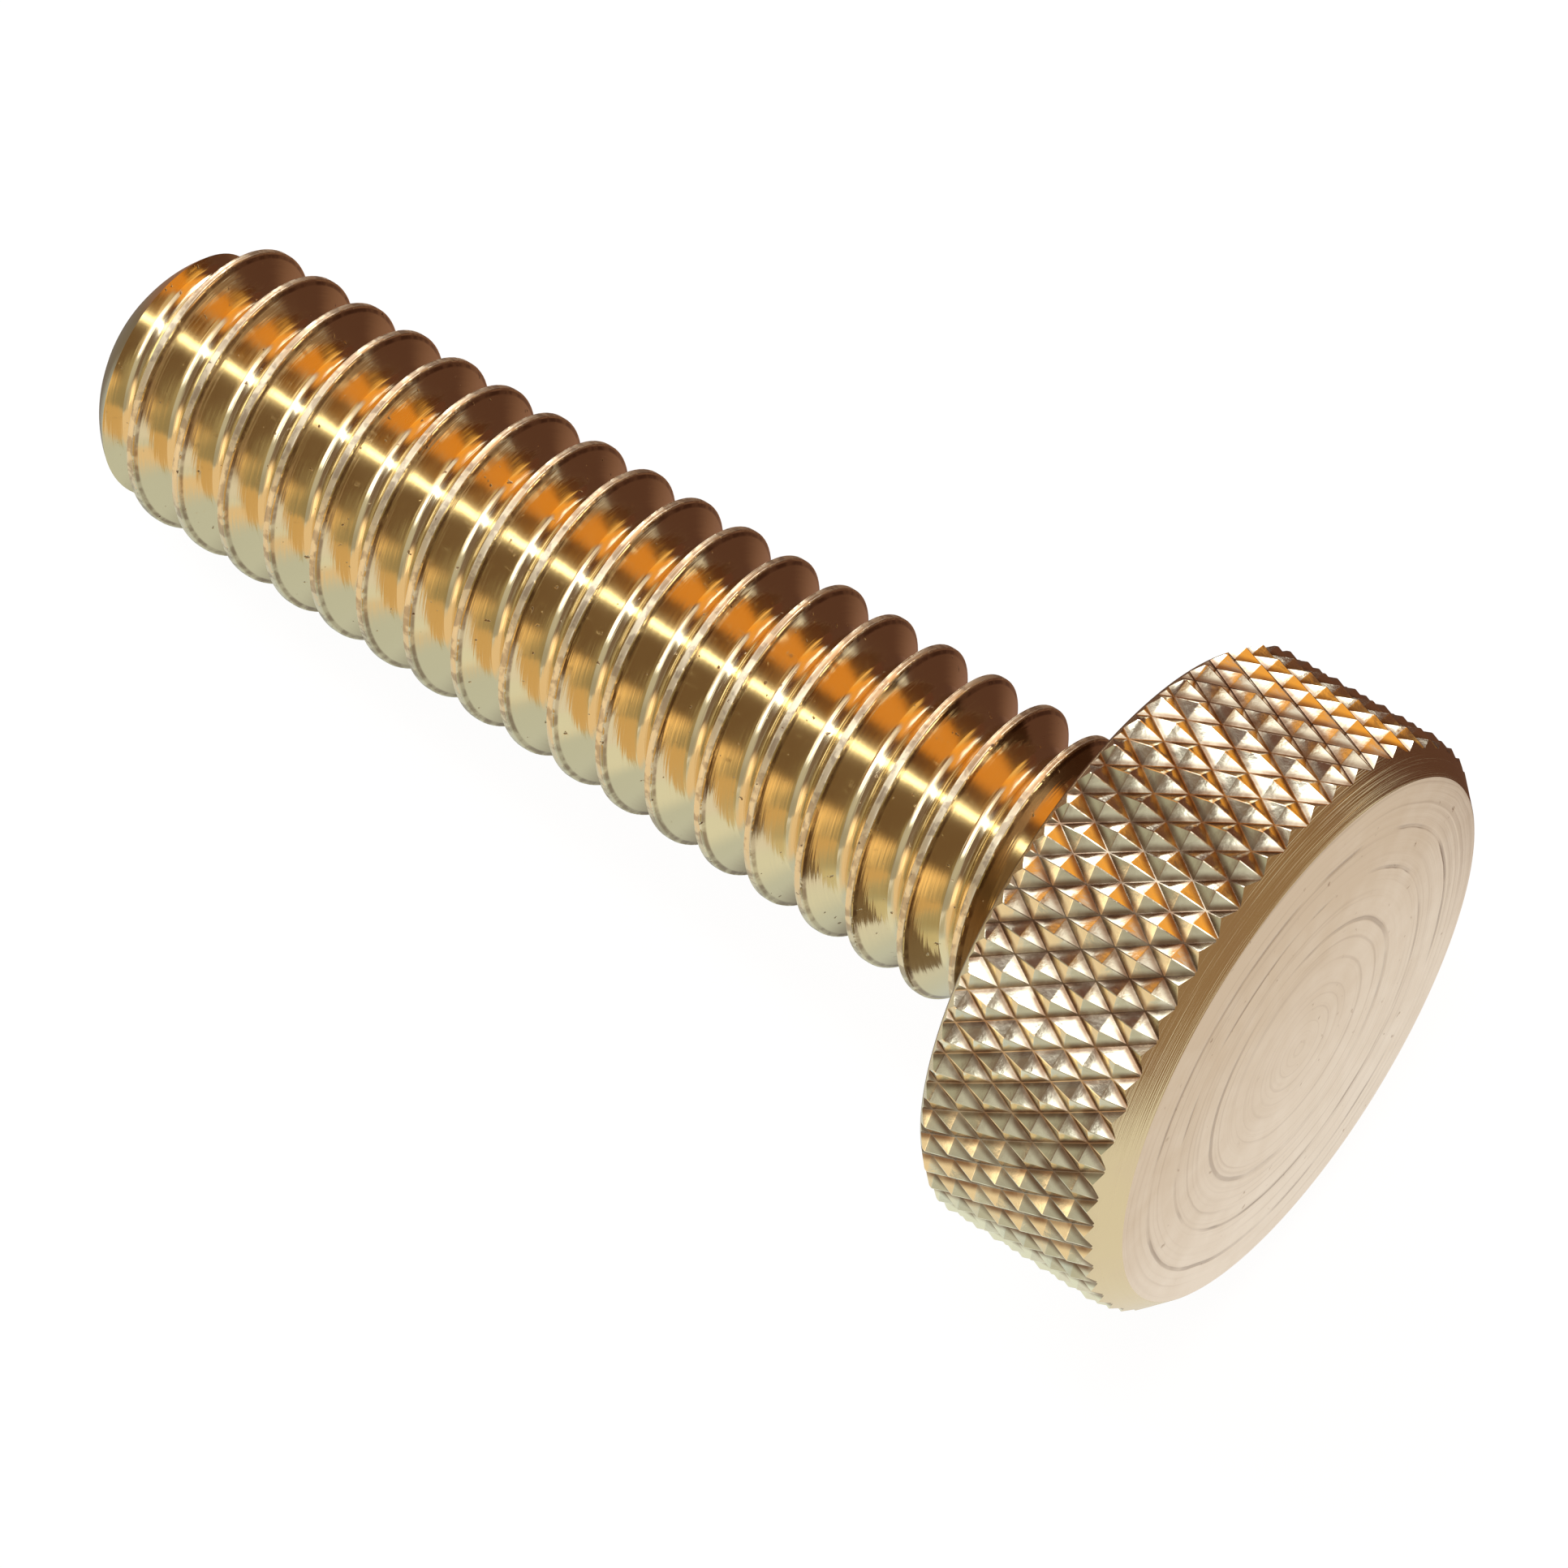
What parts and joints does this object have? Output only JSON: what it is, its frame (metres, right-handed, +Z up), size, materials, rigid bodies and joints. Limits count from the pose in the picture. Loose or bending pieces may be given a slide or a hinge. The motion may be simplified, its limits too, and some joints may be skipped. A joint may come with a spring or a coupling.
{
  "type": "thumb screw",
  "caption": "Solid brass thumb screw with a short diamond-knurled head, a flat chamfered face and a fully threaded shank with a rounded point.",
  "frame": {"origin": "on the table under the middle of the lying screw's bounding box", "axes": "+Z up from the table, +X along the screw's length towards the head, with the axis leaning up towards the head by 7.91 degrees, +Y to the left seen from the tip"},
  "size_m": [0.0304, 0.0128, 0.0131],
  "materials": {
    "brass": "turned, bare"
  },
  "bodies": {
    "root": {"thumb_screw": "brass"}
  },
  "joints": []
}
